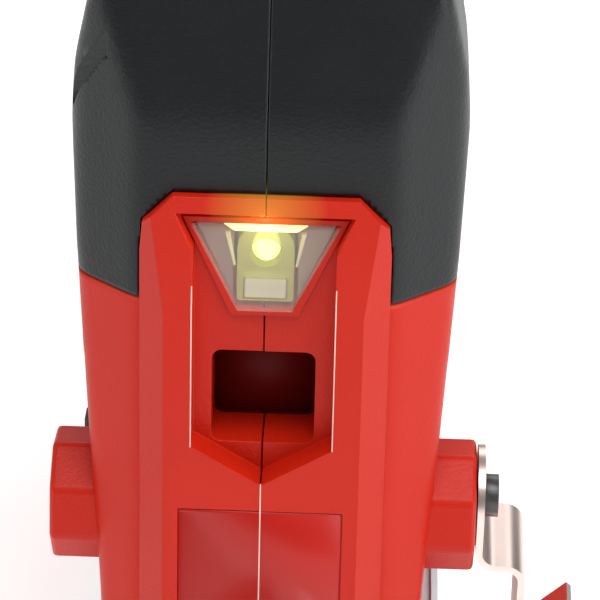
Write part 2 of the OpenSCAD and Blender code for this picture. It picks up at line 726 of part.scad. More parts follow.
// ---- Battery pack ----
pack_y = dock_y - 4;
pack_z = 52;
pack_split = pack_y + pack_d / 2;
cell_r = 9;
button_z = 140;
module pack_form(d) {
  h = pack_w / 2 - d;
  translate([0, 0, pack_z + d]) linear_extrude(pack_h - 2 * d)
    polygon(rounded([[-h, pack_y + d, 3], [h, pack_y + d, 3], [h, pack_y + pack_d - d, 9], [-h,
      pack_y + pack_d - d, 9]]));
}
module button_hole(s, d) {
  box([s < 0 ? -60 : 26, pack_split - 8 - d, button_z - 9 - d], [s < 0 ? -26 : 60, pack_split + 8 + d,
    button_z + 9 + d]);
}
module dock_slot(d) {
  box([-dock_w / 2 - d, tail_y - 6, 0], [dock_w / 2 + d, dock_y + d, dock_hi + d]);
  box([-dock_w / 2 - 5 - d, tail_y + 4 - d, 0], [dock_w / 2 + 5 + d, dock_y + d, dock_hi + d]);
}
module pack_shell(y0, y1) {
  difference() {
    union() {
      difference() { pack_form(0); pack_form(2.4); }
      intersection() { pack_form(1); box([-dock_w / 2 - 8, pack_y, pack_z], [dock_w / 2 + 8, dock_y + 3,
        pack_z + pack_h]); }
    }
    dock_slot(0.4);
    box([-60, y0 - 300, 0], [60, y0, 300]);
    box([-60, y1, 0], [60, y1 + 300, 300]);
    for (s = [-1, 1]) button_hole(s, 0.25);
  }
}
module pack_front() { color("dimgray") pack_shell(pack_y - 10, pack_split); }
module pack_back() { color("firebrick") pack_shell(pack_split, pack_split + pack_d); }
module pack_cells() {
  color("seagreen") for (i = [0:4])
    bar_x(dock_y + 3.4 + cell_r + 9, pack_z + 5 + cell_r + i * 2.08 * cell_r, cell_r, -25.5, 25.5);
}
module pack_button(s) {
  color("crimson") {
    box([s < 0 ? -pack_w / 2 - 0.8 : pack_w / 2 - 3.5, pack_split - 8, button_z - 9],
      [s < 0 ? 3.5 - pack_w / 2 : pack_w / 2 + 0.8, pack_split + 8, button_z + 9]);
  }
}
module pack_button_left() { pack_button(-1); }
module pack_button_right() { pack_button(1); }

// ---- Sole and bevel ----
sole_h = sole_w / 2;
slot_h = slot_w / 2;
saddle_r = 20;
saddle_t = 2.4;
tunnel = saddle_r - saddle_t;
screw_y = 66;
sole_outline = [[-slot_h - 12, -sole_front, 8], [-sole_h, 26 - sole_front, 10], [-sole_h, sole_rear, 6],
  [-tunnel, sole_rear, 2],
  [-tunnel, 28, 2], [tunnel, 28, 2], [tunnel, sole_rear, 2], [sole_h, sole_rear, 6], [sole_h,
    26 - sole_front, 10],
  [slot_h + 12, -sole_front, 8], [slot_h, -sole_front, 2], [slot_h, 20, 3], [-slot_h, 20, 3], [-slot_h,
    -sole_front, 2]];
function reversed(P) = [for (i = [len(P) - 1:-1:0]) P[i]];
module footplate() {
  color("silver") difference() {
    union() {
      translate([0, 0, shoe_t]) linear_extrude(plate_t) polygon(rounded(reversed(sole_outline)));
      for (s = [-1, 1]) box([s < 0 ? -sole_h : sole_h - 1.4, 44 - sole_front, shoe_t],
        [s < 0 ? 1.4 - sole_h : sole_h, sole_rear - 8, 8]);
      intersection() {
        tube_y(0, 0, saddle_r, tunnel, keel_y0 - 4, keel_y1);
        box([-40, 0, shoe_t], [40, 120, 40]);
      }
    }
    for (s = [-1, 1]) box([s < 0 ? -60 : 20, -13, 4.6], [s < 0 ? -20 : 60, 3, 7.2]);
    box([-17, screw_y - 3.4, 10], [17, screw_y + 3.4, 30]);
  }
}
module sole_shoe() { color("black") linear_extrude(shoe_t) polygon(rounded(reversed(sole_outline))); }
module bevel_screw() {
  color("silver") bar_z(0, screw_y, 3, 5.5, 34);
}
module bevel_lever() {
  color("black") difference() {
    union() {
      bar_z(0, screw_y, 7, 6, 11);
      box([-3.5, screw_y, 6], [3.5, sole_rear + 4, 10]);
      bar_z(0, sole_rear + 4, 5.5, 6, 11);
    }
    bar_z(0, screw_y, 3 + fit, 0, 20);
  }
}
module chip_shield() {
  color("lightcyan") {
    box([-13, -23.1, 22], [13, -21.6, shield_top]);
    box([-13, -26, 22], [13, -21.6, 23.6]);
  }
}

housing_left();
housing_right();
grip_left();
grip_right();
nose_lens();
led();
led_holder();
side_badge();
boss_inserts();
belt_hook();
hook_screw();
housing_screws();
gear_housing();
gear_axle();
crank_gear();
crank_roller();
plunger();
yoke();
upper_bush();
lower_bush();
blade_clamp();
clamp_sleeve();
blade();
pendulum_fork();
pendulum_pin();
guide_roller();
roller_pin();
orbit_knob();
motor_can();
magnets();
motor_shaft();
armature();
commutator();
pinion();
fan();
front_bearing();
rear_bearing();
brush_holder();
brushes();
trigger();
trigger_spring();
switch_block();
lock_button();
speed_dial();
control_board();
terminal_block();
wires();
pack_front();
pack_back();
pack_cells();
pack_button_left();
pack_button_right();
footplate();
sole_shoe();
bevel_screw();
bevel_lever();
chip_shield();
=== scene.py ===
import json
import math

import bmesh
import bpy
from mathutils import Matrix, Vector


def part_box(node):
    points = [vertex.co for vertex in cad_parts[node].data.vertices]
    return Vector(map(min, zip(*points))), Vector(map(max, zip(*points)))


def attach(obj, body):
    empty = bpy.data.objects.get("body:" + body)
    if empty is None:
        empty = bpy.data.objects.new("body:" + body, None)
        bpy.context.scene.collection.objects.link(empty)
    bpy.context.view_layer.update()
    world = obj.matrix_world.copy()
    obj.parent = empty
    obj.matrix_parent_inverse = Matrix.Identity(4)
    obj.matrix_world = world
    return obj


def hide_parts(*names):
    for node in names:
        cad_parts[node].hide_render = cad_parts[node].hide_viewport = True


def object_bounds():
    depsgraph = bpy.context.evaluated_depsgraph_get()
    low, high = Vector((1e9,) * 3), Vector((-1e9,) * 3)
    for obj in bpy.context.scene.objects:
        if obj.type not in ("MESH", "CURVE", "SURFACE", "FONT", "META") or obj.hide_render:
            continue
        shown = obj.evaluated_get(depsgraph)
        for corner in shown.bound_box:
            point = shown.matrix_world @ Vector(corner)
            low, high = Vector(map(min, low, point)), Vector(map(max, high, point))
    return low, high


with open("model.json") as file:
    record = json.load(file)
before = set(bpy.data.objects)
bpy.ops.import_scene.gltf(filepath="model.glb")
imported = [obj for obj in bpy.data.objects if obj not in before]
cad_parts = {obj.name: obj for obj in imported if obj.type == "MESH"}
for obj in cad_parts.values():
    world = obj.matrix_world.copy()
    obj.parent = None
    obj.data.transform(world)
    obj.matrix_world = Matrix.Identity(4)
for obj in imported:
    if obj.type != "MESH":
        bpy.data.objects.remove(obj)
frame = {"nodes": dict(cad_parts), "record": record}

cad_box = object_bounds()
MM = 0.001

# ---------------------------------------------------------------- camera, light and floor
# A close studio view of the nose from a little above, on a white sweep. The camera looks along +Y,
# down by about a quarter of a right angle, and the object stands on a pale floor.
look_at = Vector((6.2, -26.0, 119.3)) * MM
camera_rise = math.radians(27)
camera_aside = math.radians(1.2)
camera_roll = math.radians(1.35)
camera_away = 0.60
width_seen = 105 * MM

camera_data = bpy.data.cameras.new("studio_camera")
camera = bpy.data.objects.new("studio_camera", camera_data)
bpy.context.scene.collection.objects.link(camera)
bpy.context.scene.camera = camera
back = Vector((
    math.sin(camera_aside) * math.cos(camera_rise),
    -math.cos(camera_aside) * math.cos(camera_rise),
    math.sin(camera_rise),
))
camera.location = look_at + back * camera_away
camera.rotation_euler = (
    back.to_track_quat("Z", "Y") @ Matrix.Rotation(camera_roll, 4, "Z").to_quaternion()
).to_euler()
camera_data.sensor_width = 36
camera_data.lens = 36 * camera_away / width_seen
camera_data.clip_start = 0.01
bpy.context.scene.view_settings.view_transform = "Standard"

world = bpy.data.worlds.new("white_studio")
bpy.context.scene.world = world
world.use_nodes = True
world_tree = world.node_tree
soft_room = world_tree.nodes["Background"]
soft_room.inputs["Color"].default_value = (1, 1, 1, 1)
soft_room.inputs["Strength"].default_value = 0.22
white_sweep = world_tree.nodes.new("ShaderNodeBackground")
white_sweep.inputs["Strength"].default_value = 1.05
seen_by = world_tree.nodes.new("ShaderNodeLightPath")
choose = world_tree.nodes.new("ShaderNodeMixShader")
world_tree.links.new(seen_by.outputs["Is Camera Ray"], choose.inputs["Fac"])
world_tree.links.new(soft_room.outputs["Background"], choose.inputs[1])
world_tree.links.new(white_sweep.outputs["Background"], choose.inputs[2])
world_tree.links.new(choose.outputs["Shader"], world_tree.nodes["World Output"].inputs["Surface"])


def lamp(name, place, target, size, power):
    """A rectangular studio lamp, size in metres, turned to face its target."""
    data = bpy.data.lights.new(name, "AREA")
    data.shape = "RECTANGLE"
    data.size, data.size_y = size
    data.energy = power
    ob = bpy.data.objects.new(name, data)
    ob.location = place
    ob.rotation_euler = (Vector(place) - Vector(target)).to_track_quat("Z", "Y").to_euler()
    bpy.context.scene.collection.objects.link(ob)


lamp("key_overhead", (0.12, -0.36, 0.92), (0, 0, 0.12), (0.6, 0.45), 6.0)
lamp("right_strip", (0.75, -0.25, 0.35), (0, 0, 0.12), (0.25, 0.7), 3.2)
lamp("left_strip", (-0.75, -0.2, 0.3), (0, 0, 0.12), (0.25, 0.7), 1.6)
lamp("back_fill", (0.1, 0.9, 0.7), (0, 0.1, 0.1), (0.9, 0.5), 3)

floor_mesh = bpy.data.meshes.new("floor")
floor_mesh.from_pydata([(-4, -4, 0), (4, -4, 0), (4, 4, 0), (-4, 4, 0)], [], [(0, 1, 2, 3)])
floor = bpy.data.objects.new("floor", floor_mesh)
floor.location.z = cad_box[0][2] - 0.0002
bpy.context.scene.collection.objects.link(floor)
paper = bpy.data.materials.new("white_paper")
paper.use_nodes = True
paper_shader = paper.node_tree.nodes["Principled BSDF"]
paper_shader.inputs["Base Color"].default_value = (0.93, 0.93, 0.93, 1)
paper_shader.inputs["Roughness"].default_value = 0.9
paper_shader.inputs["Emission Color"].default_value = (1, 1, 1, 1)
paper_shader.inputs["Emission Strength"].default_value = 0.45
floor_mesh.materials.append(paper)

# ---------------------------------------------------------------- red housing, lower body
# The two red halves are injection-moulded glass-filled nylon with a fine spark texture, screwed together
# from the right. Their shared outer form is where a side, a front and a plan outline meet, with soft edges.


def prism(points, across, low, high):
    """A closed solid: an outline in millimetres, pushed along one axis."""
    place = {
        "x": lambda a, b, c: (c, a, b),
        "y": lambda a, b, c: (a, c, b),
        "z": lambda a, b, c: (a, b, c),
    }[across]
    bm = bmesh.new()
    rings = []
    for level in (low, high):
        rings.append([bm.verts.new(Vector(place(a, b, level)) * MM) for a, b in points])
    count = len(points)
    bm.faces.new(rings[0])
    bm.faces.new(rings[1])
    for i in range(count):
        j = (i + 1) % count
        bm.faces.new((rings[0][i], rings[0][j], rings[1][j], rings[1][i]))
    bmesh.ops.recalc_face_normals(bm, faces=bm.faces)
    mesh = bpy.data.meshes.new("prism")
    bm.to_mesh(mesh)
    bm.free()
    ob = bpy.data.objects.new("prism", mesh)
    bpy.context.scene.collection.objects.link(ob)
    return ob


def rod(across, centre, radius, low, high, sides=48):
    """A round prism along one axis. centre is in millimetres, in the outline's own two directions."""
    turns = [2 * math.pi * i / sides for i in range(sides)]
    ring = [(centre[0] + radius * math.cos(a), centre[1] + radius * math.sin(a)) for a in turns]
    return prism(ring, across, low, high)


def block(low, high):
    """A box between two corners in millimetres."""
    x0, y0, z0 = low
    x1, y1, z1 = high
    return prism([(x0, y0), (x1, y0), (x1, y1), (x0, y1)], "z", z0, z1)


def settle(ob):
    """Applies every modifier of an object."""
    bpy.context.view_layer.update()
    done = bpy.data.meshes.new_from_object(ob.evaluated_get(bpy.context.evaluated_depsgraph_get()))
    ob.modifiers.clear()
    ob.data = done
    return ob


def cut(ob, tool, how="DIFFERENCE", keep_tool=False):
    """Cuts, joins or intersects an object with a tool, which is then thrown away."""
    step = ob.modifiers.new("cut", "BOOLEAN")
    step.object = tool
    step.operation = how
    step.solver = "EXACT"
    settle(ob)
    if not keep_tool:
        bpy.data.objects.remove(tool)
    return ob


def copy_of(ob):
    """A second object with a mesh of its own."""
    twin = ob.copy()
    twin.data = ob.data.copy()
    bpy.context.scene.collection.objects.link(twin)
    return twin


def rounded(points, steps=5):
    """An outline whose corners, given as (across, up, radius), become arcs."""
    out = []
    count = len(points)
    for i in range(count):
        here = Vector(points[i][:2])
        before = (Vector(points[i - 1][:2]) - here).normalized()
        after = (Vector(points[(i + 1) % count][:2]) - here).normalized()
        half = math.acos(max(-1, min(1, before.dot(after)))) / 2
        radius = points[i][2]
        if radius <= 0 or half > 1.55:
            out.append(tuple(here))
            continue
        centre = here + (before + after).normalized() * radius / math.sin(half)
        start = here + before * radius / math.tan(half) - centre
        end = here + after * radius / math.tan(half) - centre
        turn = math.atan2(start.x * end.y - start.y * end.x, start.dot(end))
        first = math.atan2(start.y, start.x)
        angles = [first + turn * k / steps for k in range(steps + 1)]
        out += [(centre.x + radius * math.cos(a), centre.y + radius * math.sin(a)) for a in angles]
    return out


def mirrored(right_side):
    """A closed outline, from lower left, made from the points of its right side."""
    left_side = [(-x, *rest) for x, *rest in reversed(right_side)]
    return left_side[-1:] + right_side + left_side[:-1]


# Levels and half widths of the shared outer form. Each outline point is (across, up, corner radius).
tail = 138.0
head_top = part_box("grip_left")[1].z / MM
front_face = -26.0
chin_z = 46
belly_z = 36
deck_z = 112
widest = 35.1
waist = 30.8
trunk_side = [
    (front_face, chin_z, 4), (20, chin_z, 4), (31, belly_z, 5), (tail - 8, belly_z, 9),
    (tail, belly_z + 12, 6), (tail, deck_z, 4), (46, deck_z, 10), (37, 158, 14),
    (32, head_top - 6, 8), (6, head_top, 20), (-17, head_top - 20, 22), (front_face, 152, 24),
]
half_front = [
    (29.2, belly_z - 2, 0), (30.0, 54, 30), (32.4, 92, 60), (34.0, 118.5, 60), (widest, 147, 40),
    (34.3, 158, 30), (31.0, 174, 24), (23.4, 194, 14), (16, head_top + 2, 8),
]
trunk_front = half_front + [(-x, z, radius) for x, z, radius in reversed(half_front)]
half_plan = [
    (22, front_face, 6), (widest, front_face + 11.5, 9), (widest, 3, 40), (waist, 42, 40),
    (waist, tail - 20, 14), (27, tail, 8),
]
trunk_plan = half_plan + [(-x, y, radius) for x, y, radius in reversed(half_plan)]
handle_side = [
    (16, 168, 0), (104, 160, 14), (112, 96, 2), (tail, 96, 0), (tail, 168, 18), (112, 191, 26),
    (30, head_top - 3, 30), (16, head_top - 2, 0),
]
handle_half = 17.0

soft_form = prism(rounded(trunk_side), "x", -60, 60)
cut(soft_form, prism(rounded(trunk_front, 8), "y", -60, 200), "INTERSECT")
cut(soft_form, prism(rounded(trunk_plan, 8), "z", 0, 260), "INTERSECT")
cut(soft_form, prism(rounded(handle_side), "x", -handle_half, handle_half), "UNION")
remesh = soft_form.modifiers.new("skin", "REMESH")
remesh.mode = "VOXEL"
remesh.voxel_size = 1.1 * MM
settle(soft_form)
smooth = soft_form.modifiers.new("soften", "SMOOTH")
smooth.factor = 0.5
smooth.iterations = 30
settle(soft_form)


def moulded(ob, name, body, slot_name, material, *nodes):
    """Names a finished piece and hangs it on its body in place of its plain nodes."""
    ob.name = name
    ob.data.name = name
    ob.data.materials.clear()
    ob.data.materials.append(material)
    for polygon in ob.data.polygons:
        polygon.use_smooth = True
    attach(ob, body)
    if nodes:
        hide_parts(*nodes)
    return ob


def edge_round(ob, width, steps=3, angle=32):
    """A moulded edge: a small even radius along every crisp corner."""
    bevel = ob.modifiers.new("edge", "BEVEL")
    bevel.width = width * MM
    bevel.segments = steps
    bevel.limit_method = "ANGLE"
    bevel.angle_limit = math.radians(angle)
    bevel.harden_normals = True
    return ob


# Grain: a shared group that gives a height for moulded texture and a mask of faint mottling.
grain_group = bpy.data.node_groups.new("moulded_grain", "ShaderNodeTree")
for name, default in (("Cell", 0.5), ("Fine", 0.2)):
    socket = grain_group.interface.new_socket(name, in_out="INPUT", socket_type="NodeSocketFloat")
    socket.default_value = default
for name in ("Height", "Mottle"):
    grain_group.interface.new_socket(name, in_out="OUTPUT", socket_type="NodeSocketFloat")
grain_nodes = grain_group.nodes
grain_in = grain_nodes.new("NodeGroupInput")
grain_out = grain_nodes.new("NodeGroupOutput")
grain_where = grain_nodes.new("ShaderNodeTexCoord")


def per_metre(size_socket):
    """How many grains, of a width in millimetres, lie in a metre."""
    node = grain_nodes.new("ShaderNodeMath")
    node.operation = "DIVIDE"
    node.inputs[0].default_value = 1000
    grain_group.links.new(size_socket, node.inputs[1])
    return node.outputs[0]


grain_cells = grain_nodes.new("ShaderNodeTexVoronoi")
grain_cells.feature = "SMOOTH_F1"
grain_noise = grain_nodes.new("ShaderNodeTexNoise")
grain_noise.inputs["Detail"].default_value = 4
grain_large = grain_nodes.new("ShaderNodeTexNoise")
grain_large.inputs["Scale"].default_value = 45
grain_large.inputs["Detail"].default_value = 3
grain_sum = grain_nodes.new("ShaderNodeMath")
grain_sum.operation = "ADD"
for node, socket in ((grain_cells, "Cell"), (grain_noise, "Fine")):
    grain_group.links.new(per_metre(grain_in.outputs[socket]), node.inputs["Scale"])
    grain_group.links.new(grain_where.outputs["Object"], node.inputs["Vector"])
grain_group.links.new(grain_where.outputs["Object"], grain_large.inputs["Vector"])
grain_group.links.new(grain_cells.outputs["Distance"], grain_sum.inputs[0])
grain_group.links.new(grain_noise.outputs["Fac"], grain_sum.inputs[1])
grain_group.links.new(grain_sum.outputs[0], grain_out.inputs["Height"])
grain_group.links.new(grain_large.outputs["Fac"], grain_out.inputs["Mottle"])

# Wear: a shared group that marks convex corners, broken up by noise.
wear_group = bpy.data.node_groups.new("edge_wear", "ShaderNodeTree")
wear_group.interface.new_socket("Breakup", in_out="INPUT", socket_type="NodeSocketFloat").default_value = 300
wear_group.interface.new_socket("Mask", in_out="OUTPUT", socket_type="NodeSocketFloat")
wear_nodes = wear_group.nodes
wear_in = wear_nodes.new("NodeGroupInput")
wear_out = wear_nodes.new("NodeGroupOutput")
wear_shape = wear_nodes.new("ShaderNodeNewGeometry")
wear_noise = wear_nodes.new("ShaderNodeTexNoise")
wear_where = wear_nodes.new("ShaderNodeTexCoord")
wear_edge = wear_nodes.new("ShaderNodeMapRange")
wear_mix = wear_nodes.new("ShaderNodeMath")
wear_edge.inputs["From Min"].default_value = 0.53
wear_edge.inputs["From Max"].default_value = 0.62
wear_mix.operation = "MULTIPLY"
wear_group.links.new(wear_shape.outputs["Pointiness"], wear_edge.inputs["Value"])
wear_group.links.new(wear_where.outputs["Object"], wear_noise.inputs["Vector"])
wear_group.links.new(wear_in.outputs["Breakup"], wear_noise.inputs["Scale"])
wear_group.links.new(wear_edge.outputs["Result"], wear_mix.inputs[0])
wear_group.links.new(wear_noise.outputs["Fac"], wear_mix.inputs[1])
wear_group.links.new(wear_mix.outputs[0], wear_out.inputs["Mask"])


def finish_of(name, dark, light, rough, cell, fine, depth, metal=0.0, worn=None, coat=0.0, sheen=0.0,
              spread=0.12, shine=0.5):
    """A finish with mottled colour, moulded or ground grain, and paler worn corners.

    cell, fine and depth are the grain's two widths and its height, in millimetres.
    """
    material = bpy.data.materials.new(name)
    material.use_nodes = True
    tree = material.node_tree
    shader = tree.nodes["Principled BSDF"]
    shader.inputs["Metallic"].default_value = metal
    shader.inputs["Coat Weight"].default_value = coat
    shader.inputs["Coat Roughness"].default_value = 0.25
    shader.inputs["Specular IOR Level"].default_value = shine
    shader.inputs["Sheen Weight"].default_value = sheen
    shader.inputs["Sheen Roughness"].default_value = 0.4
    grain = tree.nodes.new("ShaderNodeGroup")
    grain.node_tree = grain_group
    grain.inputs["Cell"].default_value = cell
    grain.inputs["Fine"].default_value = fine
    wear = tree.nodes.new("ShaderNodeGroup")
    wear.node_tree = wear_group
    tone = tree.nodes.new("ShaderNodeMix")
    tone.data_type = "RGBA"
    tone.inputs["A"].default_value = (*dark, 1)
    tone.inputs["B"].default_value = (*light, 1)
    tree.links.new(grain.outputs["Mottle"], tone.inputs["Factor"])
    edges = tree.nodes.new("ShaderNodeMix")
    edges.data_type = "RGBA"
    edges.inputs["B"].default_value = (*(worn or light), 1)
    tree.links.new(tone.outputs["Result"], edges.inputs["A"])
    tree.links.new(wear.outputs["Mask"], edges.inputs["Factor"])
    tree.links.new(edges.outputs["Result"], shader.inputs["Base Color"])
    gloss = tree.nodes.new("ShaderNodeMapRange")
    gloss.inputs["To Min"].default_value = max(0.05, rough - spread)
    gloss.inputs["To Max"].default_value = min(1, rough + spread)
    tree.links.new(grain.outputs["Mottle"], gloss.inputs["Value"])
    tree.links.new(gloss.outputs["Result"], shader.inputs["Roughness"])
    bump = tree.nodes.new("ShaderNodeBump")
    bump.inputs["Strength"].default_value = 1
    bump.inputs["Distance"].default_value = depth * MM
    tree.links.new(grain.outputs["Height"], bump.inputs["Height"])
    tree.links.new(bump.outputs["Normal"], shader.inputs["Normal"])
    return material


red_nylon = finish_of("red_nylon", (0.50, 0.013, 0.003), (0.54, 0.017, 0.004), 0.42, 0.5, 0.22, 0.04,
                      worn=(0.78, 0.16, 0.09), spread=0.01, shine=0.2)
nose_nylon = finish_of("nose_nylon", (0.50, 0.013, 0.003), (0.54, 0.017, 0.004), 0.40, 0.5, 0.22, 0.04,
                       spread=0.01, shine=0.22)

# Painted light: the lamp's glow on the nose's top bar, a faint yellow-green emitted by the nylon itself,
# which fades with distance from the lens's upper edge.
nose_tree = nose_nylon.node_tree
lit_from = nose_tree.nodes.new("ShaderNodeVectorMath")
lit_from.operation = "DISTANCE"
lit_from.inputs[1].default_value = (0, -0.029, 0.1365)
lit_by = nose_tree.nodes.new("ShaderNodeMapRange")
lit_by.inputs["From Max"].default_value = 0.011
lit_by.inputs["To Min"].default_value = 0.30
lit_by.inputs["To Max"].default_value = 0.0
nose_tree.links.new(nose_tree.nodes.new("ShaderNodeTexCoord").outputs["Object"], lit_from.inputs[0])
nose_tree.links.new(lit_from.outputs["Value"], lit_by.inputs["Value"])
nose_shader = nose_tree.nodes["Principled BSDF"]
nose_shader.inputs["Emission Color"].default_value = (0.55, 0.75, 0.08, 1)
nose_tree.links.new(lit_by.outputs["Result"], nose_shader.inputs["Emission Strength"])

# The two halves of the body meet the plane x = 0 with a hair gap, and the red ends at two seam levels.
side_gap = 0.12
seam_z = 118.5
seam_groove = 0.35
handle_y = 48
handle_seam_z = 148
both_sides = (("left", -1), ("right", 1))


def one_side(sign):
    """A box round everything on one side of the parting plane."""
    low, high = sorted((sign * side_gap, sign * 80))
    return block((low, -80, -20), (high, 300, 300))


# The raised nose frame: its outline, the lamp channel, the window with its pocket, and the lower recess.
nose_top = 139.3
nose_bend = 118.0
nose_half = 22.0
nose_out = 4.5
nose_back = -12
nose_front = front_face - nose_out
channel_floor = nose_front + 6
channel_half = 12.5
channel_top = 136.2
window_z = 98.9
window_half = 9.2
pocket_back = -13.0
recess_half = 14.8
recess_top = 78.8

# Room kept free inside: behind the nose plate, round the blade mouth, and for the sliding chip shield.
nose_gap_half = 16.5
nose_gap_y = -11.2
mouth_half = 19
shield_half = 16
shield_y = -23.6


def nose_blank(grow=0.0):
    """The raised nose frame before its channel is cut. grow makes it larger all round, as a cutting tool."""
    half = nose_half + grow
    flat = nose_half - nose_out + grow
    front = nose_front - grow
    chin = chin_z + 0.5
    face = mirrored([
        (nose_half, chin), (nose_half, 128), (nose_half - 0.5, nose_top - 5.5), (nose_half - 5.8, nose_top),
    ])
    if grow:
        lift = {chin: -grow, nose_top: grow, nose_top - 5.5: grow}
        face = [(x * (1 + grow / nose_half), z + lift.get(z, 0)) for x, z in face]
    ob = prism(face, "y", nose_front - 2, nose_back)
    plan = [
        (-half, nose_back + 1), (-half, front_face), (-flat, front),
        (flat, front), (half, front_face), (half, nose_back + 1),
    ]
    cut(ob, prism(plan, "z", 40, 160), "INTERSECT")
    side = [
        (front, 40), (nose_back + 1, 40), (nose_back + 1, nose_top + 3),
        (front_face - 1.2 - grow, nose_top + 3), (front, nose_bend),
    ]
    cut(ob, prism(side, "x", -60, 60), "INTERSECT")
    return ob


nose = nose_blank()
channel = [
    (-channel_half, 91.6), (0, 84.1), (channel_half, 91.6), (channel_half, 129.3),
    (15.6, channel_top), (-15.6, channel_top), (-channel_half, 129.3),
]
cut(nose, prism(channel, "y", -40, channel_floor))
square = mirrored([(window_half, window_z - window_half, 1.8), (window_half, window_z + window_half, 1.8)])
cut(nose, prism(rounded(square), "y", -40, pocket_back))
lens_outline = mirrored([(5, 116.7), (13.2, 133.4)])
cut(nose, prism(lens_outline, "y", -40, -8))
recess = mirrored([(recess_half, 30), (recess_half, recess_top)])
cut(nose, prism(recess, "y", -40, nose_front + 0.4))
cut(nose, block((-mouth_half, -20.8, 30), (mouth_half, 10, 56)))
cut(nose, block((-shield_half, shield_y, 30), (shield_half, -20, 72)))

lower = copy_of(soft_form)
cut(lower, block((-80, -80, -20), (80, handle_y, seam_z - seam_groove)), "INTERSECT")
rear = copy_of(soft_form)
cut(rear, block((-80, handle_y, -20), (80, 300, handle_seam_z)), "INTERSECT")
cut(lower, rear, "UNION")
cut(lower, block((-nose_gap_half, -60, 80), (nose_gap_half, nose_gap_y, 140)))
cut(lower, block((-mouth_half, -21, 20), (mouth_half, 21, 54)))
cut(lower, block((-mouth_half, 20, 20), (mouth_half, 33, 54)))
cut(lower, block((-shield_half, shield_y, 41), (shield_half, -20, 75)))

# Six cooling slots in each cheek, four screw counterbores on the right, the orbit knob's hole on the left,
# and the mouth of the battery dock.
vent_first = 101
vent_pitch = 3.6
for row in range(6):
    vent_y = vent_first + vent_pitch * row
    cut(lower, block((20, vent_y, 56), (60, vent_y + 2, 88)))
    cut(lower, block((-60, vent_y, 56), (-20, vent_y + 2, 88)))
screw_mouth = 3.4
screw_seat = 13.2
for screw_place in ((52, 103), (100, 103), (126, 47), (44, 42)):
    cut(lower, rod("x", screw_place, screw_mouth, screw_seat, 60))
cut(lower, rod("x", (40, 49), 4.1, -60, -15))
cut(lower, block((-28, tail - 1.5, 58), (28, tail + 4, 150)))

# An eight-sided boss stands out on either side of the nose; the belt hook is screwed to the right one.
boss_at = (-6, 67.4)
boss_radius = 12.45
boss_root = 18
boss_face = 39.3
hook_at = (-6, 69.6)
to_boss = Matrix.Translation((0, boss_at[0] * MM, boss_at[1] * MM))
boss_turn = to_boss @ Matrix.Rotation(math.radians(14), 4, "X") @ to_boss.inverted()

for side, sign in both_sides:
    window = one_side(sign)
    shell = copy_of(lower)
    cut(shell, window, "INTERSECT", keep_tool=True)
    moulded(shell, f"body_{side}", "body", "red_shell", red_nylon, f"housing_{side}")
    face = copy_of(nose)
    cut(face, window, "INTERSECT")
    edge_round(face, 0.45)
    moulded(face, f"nose_{side}", "body", "red_shell", nose_nylon)
    boss = rod("x", boss_at, boss_radius, *sorted((sign * boss_root, sign * boss_face)), sides=8)
    boss.data.transform(boss_turn)
    cut(boss, rod("x", hook_at, 3.05, *sorted((sign * 26, sign * 60))))
    edge_round(boss, 1.1)
    moulded(boss, f"boss_{side}", "body", "red_shell", nose_nylon)
bpy.data.objects.remove(lower)
bpy.data.objects.remove(nose)

# The pocket behind the window ends on the back wall of the same moulding, which lies in shade. Its red is
# darkened here as painted shade.
painted_shade_red = finish_of("painted_shade_red", (0.10, 0.002, 0.002), (0.13, 0.003, 0.003), 0.55, 0.6, 0.3, 0.02,
                      shine=0.2)
moulded(block((-9.1, -13.8, 89.8), (9.1, -13.2, 108.0)), "window_back", "body", "red_shell", painted_shade_red)

# ---------------------------------------------------------------- keel and battery dock
# Parts of the same two red nylon mouldings: a keel under the belly, hollowed for the tilting foot's seat,
# and a raised dock on the tail with a wide flange that the battery slides onto.
seat_radius = 20.3
keel = prism([(-20.8, 44), (-9.6, 16.6), (9.6, 16.6), (20.8, 44)], "y", 34, 80)
cut(keel, rod("y", (0, 0), seat_radius, 30, 90, sides=96))
edge_round(keel, 0.6)
moulded(keel, "keel", "body", "red_shell", red_nylon)
dock = block((-22, tail - 3, 60), (22, tail + 8, 148))
cut(dock, block((-27, tail + 4, 60), (27, tail + 8, 148)), "UNION")
cut(dock, block((-15, tail - 1, 70), (15, tail + 9, 138)))
edge_round(dock, 0.5)
moulded(dock, "dock", "body", "red_shell", red_nylon)

# ---------------------------------------------------------------- nose panel, mould flash and painted edge highlight
# A blank satin panel of the same red nylon lies in the shallow recess of the nose's lower face. Thin flash
# stands on the parting line below the channel and along the channel's edges, where the mould met. Its pale
# colour is partly chipped flash and partly a painted highlight along these edges.
panel_red = finish_of("panel_red", (0.42, 0.006, 0.003), (0.45, 0.009, 0.004), 0.34, 0.9, 0.4, 0.008,
                      shine=0.35)
panel_outline = mirrored([(14.6, 47.5, 0.6), (14.6, 78.6, 0.6)])
panel = prism(rounded(panel_outline), "y", nose_front + 0.12, nose_front + 0.8)
moulded(panel, "blank_panel", "body", "red_shell", panel_red)
